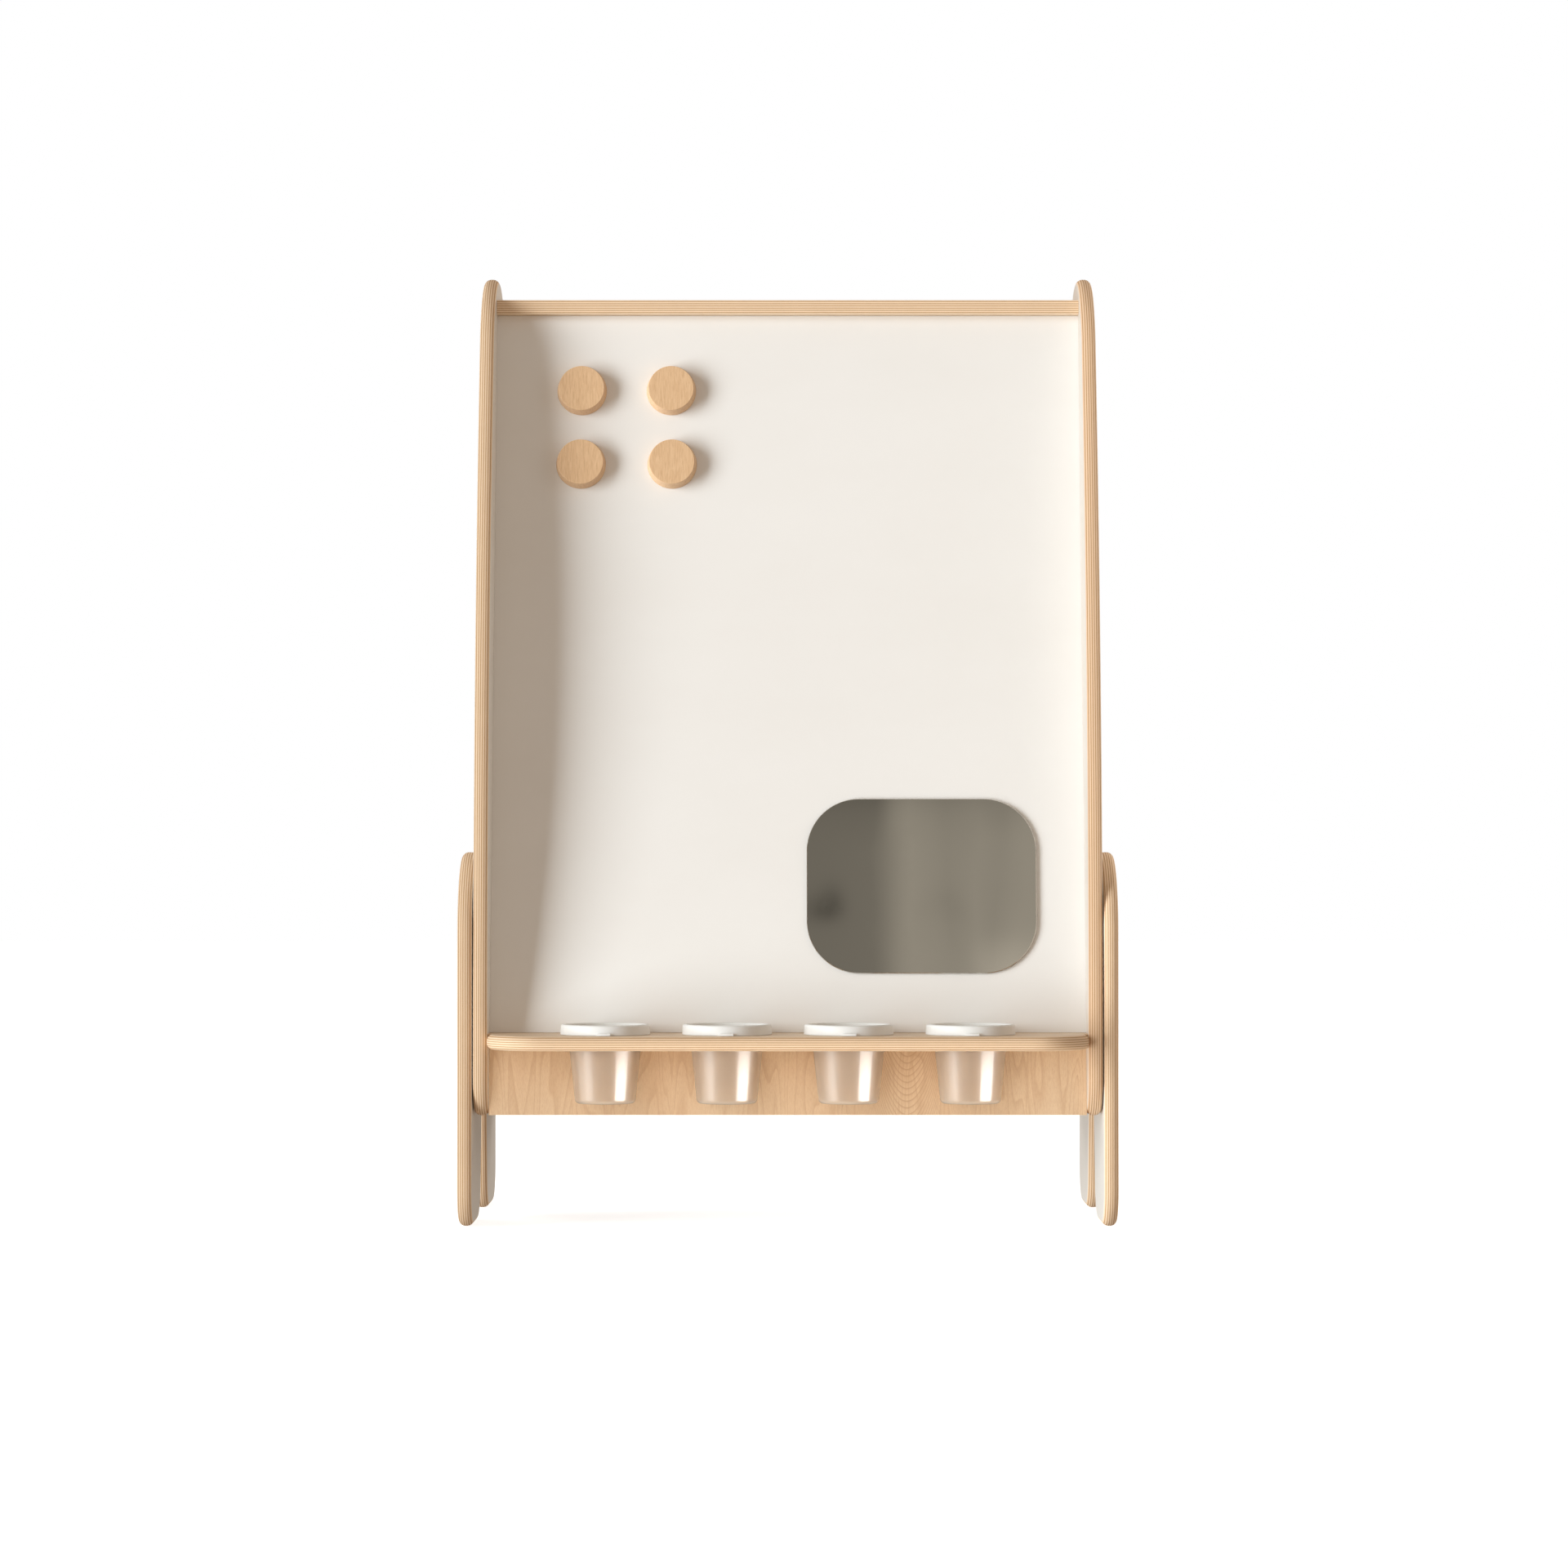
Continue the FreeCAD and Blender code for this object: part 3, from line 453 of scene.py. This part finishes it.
def floor_material():
    """A pale studio floor, bright enough to meet the white background without a line."""
    tree = Tree("floor")
    grit = tree.noise(tree.place, 3.0, 3.0, 0.5)
    tree.set(base_color=tree.mix(grit, (0.86, 0.86, 0.86, 1), (0.9, 0.9, 0.9, 1)), roughness=0.9)
    tree.set(emission_color=(0.96, 0.985, 1, 1), emission_strength=0.76)
    return tree.material


def spot(tree, across, up, centre, size):
    """1 at a place on the card, fading away from it: an eighth is left at a distance of size."""
    along_u = tree.math("DIVIDE", tree.math("SUBTRACT", across, centre[0]), size[0])
    along_v = tree.math("DIVIDE", tree.math("SUBTRACT", up, centre[1]), size[1])
    squares = tree.math("ADD", tree.math("POWER", along_u, 2.0), tree.math("POWER", along_v, 2.0))
    return tree.math("POWER", 0.5, tree.math("MULTIPLY", squares, 3.0))


# (scale, shift) that turn a place on the room card into how far across and up the mirror it shows
ROOM_ACROSS = (-2.11, 0.492)
ROOM_UP = (2.08, 0.652)
ROOM_LIGHT = 1.64


def room_material():
    """What the mirror sees: a dim warm room, out of focus, with soft upright bands and patches."""
    tree = Tree("room")
    x, y, _ = tree.axes(tree.place)
    across = tree.math("ADD", tree.math("MULTIPLY", x, ROOM_ACROSS[0]), ROOM_ACROSS[1])
    up = tree.math("ADD", tree.math("MULTIPLY", y, ROOM_UP[0]), ROOM_UP[1])
    bands = tree.steps(across, (0.0, 0.145), (0.3, 0.155), (0.36, 0.19), (0.43, 0.25), (0.49, 0.275),
                       (0.6, 0.24), (0.74, 0.262), (0.85, 0.245), (0.95, 0.275))
    glow = tree.math("MULTIPLY", spot(tree, across, up, (0.92, 0.06), (0.30, 0.26)), 0.11)
    dark = tree.math("MULTIPLY", spot(tree, across, up, (0.07, 0.45), (0.09, 0.12)), -0.07)
    top = tree.math("MULTIPLY", spot(tree, across, up, (0.6, 1.12), (0.9, 0.26)), -0.07)
    dim = tree.math("MULTIPLY", spot(tree, across, up, (0.61, 0.47), (0.10, 0.12)), -0.02)
    shades = tree.math("ADD", dark, tree.math("ADD", top, dim))
    level = tree.math("ADD", tree.math("ADD", bands, glow), shades)
    tree.set(base_color=(0, 0, 0, 1), roughness=1.0, specular_ior_level=0.0)
    strength = tree.math("MULTIPLY", level, ROOM_LIGHT)
    tree.set(emission_color=(1.0, 0.942, 0.816, 1), emission_strength=strength)
    return tree.material


def softbox(name, size, place, target, power, colour, rays):
    """An area light of (width, height). place is (azimuth, elevation, distance) from the target.
    rays is "diffuse" for a light that reflections don't show, or "glossy" for one that only they do."""
    azimuth, elevation, distance = math.radians(place[0]), math.radians(place[1]), place[2]
    away = Vector((math.sin(azimuth) * math.cos(elevation), -math.cos(azimuth) * math.cos(elevation),
                   math.sin(elevation)))
    data = bpy.data.lights.new(name, "AREA")
    data.shape = "RECTANGLE"
    data.size, data.size_y = size
    data.energy = power
    data.color = colour
    light = bpy.data.objects.new(name, data)
    light.location = Vector(target) + away * distance
    light.rotation_euler = (-away).to_track_quat("-Z", "Y").to_euler()
    light.visible_camera = False
    light.visible_glossy = rays == "glossy"
    light.visible_diffuse = rays == "diffuse"
    light.visible_transmission = rays == "diffuse"
    bpy.context.scene.collection.objects.link(light)
    return light


def link_light(light, prefixes, state):
    """Keep a light to the nodes whose names start with one of these (INCLUDE), or off them (EXCLUDE)."""
    group = bpy.data.collections.new(light.name + "_nodes")
    for name, node in frame["nodes"].items():
        if name.startswith(prefixes):
            group.objects.link(node)
    for item in group.collection_objects:
        item.light_linking.link_state = state
    light.light_linking.receiver_collection = group


# (height, brightness) of what reflections see all round, from below to above, and its warm tint
SURROUNDINGS = ((0.0, 0.44), (0.44, 0.36), (0.475, 0.27), (0.52, 0.31), (1.0, 0.42))
SURROUNDINGS_TINT = (1.0, 0.91, 0.81)


def make_world(brightness, colour):
    """Dim warm light from all round. What reflects sees a floor, a skirting and a wall in it instead,
    and the camera sees plain white."""
    world = bpy.data.worlds.new("studio")
    world.use_nodes = True
    bpy.context.scene.world = world
    nodes, links = world.node_tree.nodes, world.node_tree.links
    path = nodes.new("ShaderNodeLightPath")
    soft = nodes["Background"]
    soft.inputs[0].default_value = colour
    soft.inputs[1].default_value = brightness
    coords = nodes.new("ShaderNodeTexCoord")
    axes = nodes.new("ShaderNodeSeparateXYZ")
    half = nodes.new("ShaderNodeMath")
    half.operation = "MULTIPLY_ADD"
    half.inputs[1].default_value = 0.5
    half.inputs[2].default_value = 0.5
    tones = nodes.new("ShaderNodeValToRGB")
    fill_ramp(tones.color_ramp, [(height, tuple(level * part for part in SURROUNDINGS_TINT) + (1,))
                                 for height, level in SURROUNDINGS])
    room = nodes.new("ShaderNodeBackground")
    white = nodes.new("ShaderNodeBackground")
    white.inputs[0].default_value = (1, 1, 1, 1)
    reflected = nodes.new("ShaderNodeMixShader")
    choose = nodes.new("ShaderNodeMixShader")
    links.new(coords.outputs["Generated"], axes.inputs[0])
    links.new(axes.outputs[2], half.inputs[0])
    links.new(half.outputs[0], tones.inputs[0])
    links.new(tones.outputs[0], room.inputs[0])
    links.new(path.outputs["Is Glossy Ray"], reflected.inputs[0])
    links.new(soft.outputs[0], reflected.inputs[1])
    links.new(room.outputs[0], reflected.inputs[2])
    links.new(path.outputs["Is Camera Ray"], choose.inputs[0])
    links.new(reflected.outputs[0], choose.inputs[1])
    links.new(white.outputs[0], choose.inputs[2])
    links.new(choose.outputs[0], nodes["World Output"].inputs[0])


def make_camera(location, tilt, lens):
    """A level camera that looks along +Y, tilted up a little."""
    data = bpy.data.cameras.new("camera")
    data.lens = lens
    data.sensor_width = 36.0
    data.clip_end = 100.0
    camera = bpy.data.objects.new("camera", data)
    camera.location = location
    camera.rotation_euler = (math.radians(90) + tilt, 0, 0)
    bpy.context.scene.collection.objects.link(camera)
    bpy.context.scene.camera = camera


FLOOR_SIZE = (30.0, 30.0)
ROOM_SIZE = (1.3, 1.0)
ROOM_PLACE = (0.36, -7.0, 2.45)
ROOM_FACING = (0, 1, -0.3)
floor = plane("floor", FLOOR_SIZE, (0, 0, 0), (0, 0, 1), floor_material())
seen_by(floor, camera=True, glossy=False)
room = plane("room", ROOM_SIZE, ROOM_PLACE, ROOM_FACING, room_material())
seen_by(room, camera=False, glossy=True)

BOARD_MIDDLE = (0.0, -0.06, 0.55)
CUPS_MIDDLE = (0.0, -0.17, 0.16)
WORLD_LIGHT = 0.375
WORLD_COLOUR = (1.0, 0.84, 0.70, 1)
KEY_SIZE = (9.0, 17.0)
make_world(WORLD_LIGHT, WORLD_COLOUR)
# name, (width, height), (azimuth, elevation, distance), target, power, colour, which rays meet it
LIGHTS = (
    ("key", KEY_SIZE, (-59, 0, 20.0), BOARD_MIDDLE, 5700.0, (0.88, 0.95, 1.0), "diffuse"),
    ("right_fill", (1.6, 2.4), (60, 12, 4.0), BOARD_MIDDLE, 10.0, (1.0, 0.90, 0.80), "diffuse"),
    ("cup_bounce", (0.8, 0.15), (0, -48, 0.35), CUPS_MIDDLE, 0.9, (1.0, 0.93, 0.82), "diffuse"),
    ("left_key", KEY_SIZE, (-42, 0, 20.0), BOARD_MIDDLE, 3500.0, (0.88, 0.95, 1.0), "diffuse"),
    ("right_key", KEY_SIZE, (-40, 0, 20.0), BOARD_MIDDLE, 3600.0, (0.93, 0.93, 0.94), "diffuse"),
    ("rail_key", KEY_SIZE, (-22, 8, 20.0), BOARD_MIDDLE, 1000.0, (1.0, 0.94, 0.88), "diffuse"),
    ("right_side", (2.0, 2.4), (105, 10, 4.0), BOARD_MIDDLE, 45.0, (1.0, 0.97, 0.93), "diffuse"),
    ("rear_left", (2.0, 2.4), (-140, 25, 4.0), BOARD_MIDDLE, 45.0, (1.0, 0.97, 0.94), "diffuse"),
    ("rear_right", (2.0, 2.4), (140, 15, 4.0), BOARD_MIDDLE, 60.0, (1.0, 0.97, 0.94), "diffuse"),
    ("cup_streak", (2.4, 1.6), (60, -12, 3.0), CUPS_MIDDLE, 210.0, (1.0, 0.98, 0.95), "glossy"),
    ("cup_band", (3.8, 1.6), (-82, -12, 3.0), CUPS_MIDDLE, 28.0, (1.0, 0.97, 0.93), "glossy"),
)
lights = {row[0]: softbox(*row) for row in LIGHTS}
# The left panels' outer faces look towards the key and would burn out, the right side panel would throw too
# much of it on the board, and the front rail lies in the cups' shadow from it. Each has a weaker key of its
# own instead, from further to the front. The right base panel keeps the main key.
LEFT_PANELS = ("side_panel_left", "base_panel_left")
RIGHT_PANEL = ("side_panel_right",)
FRONT_RAIL = ("rail_front",)
link_light(lights["key"], LEFT_PANELS + RIGHT_PANEL + FRONT_RAIL, "EXCLUDE")
link_light(lights["left_key"], LEFT_PANELS, "INCLUDE")
link_light(lights["right_key"], RIGHT_PANEL, "INCLUDE")
link_light(lights["rail_key"], FRONT_RAIL, "INCLUDE")
link_light(lights["right_side"], RIGHT_PANEL + ("base_panel_right",), "INCLUDE")
link_light(lights["cup_bounce"], ("cup_", "tray") + FRONT_RAIL, "INCLUDE")
link_light(lights["cup_streak"], ("cup_",), "INCLUDE")
link_light(lights["cup_band"], ("cup_",), "INCLUDE")
CAMERA_PLACE = (-0.0039, -4.5805, 0.3765)
CAMERA_TILT = math.radians(0.967)
CAMERA_LENS = 100.0
make_camera(CAMERA_PLACE, CAMERA_TILT, CAMERA_LENS)
bpy.context.scene.view_settings.view_transform = "Standard"
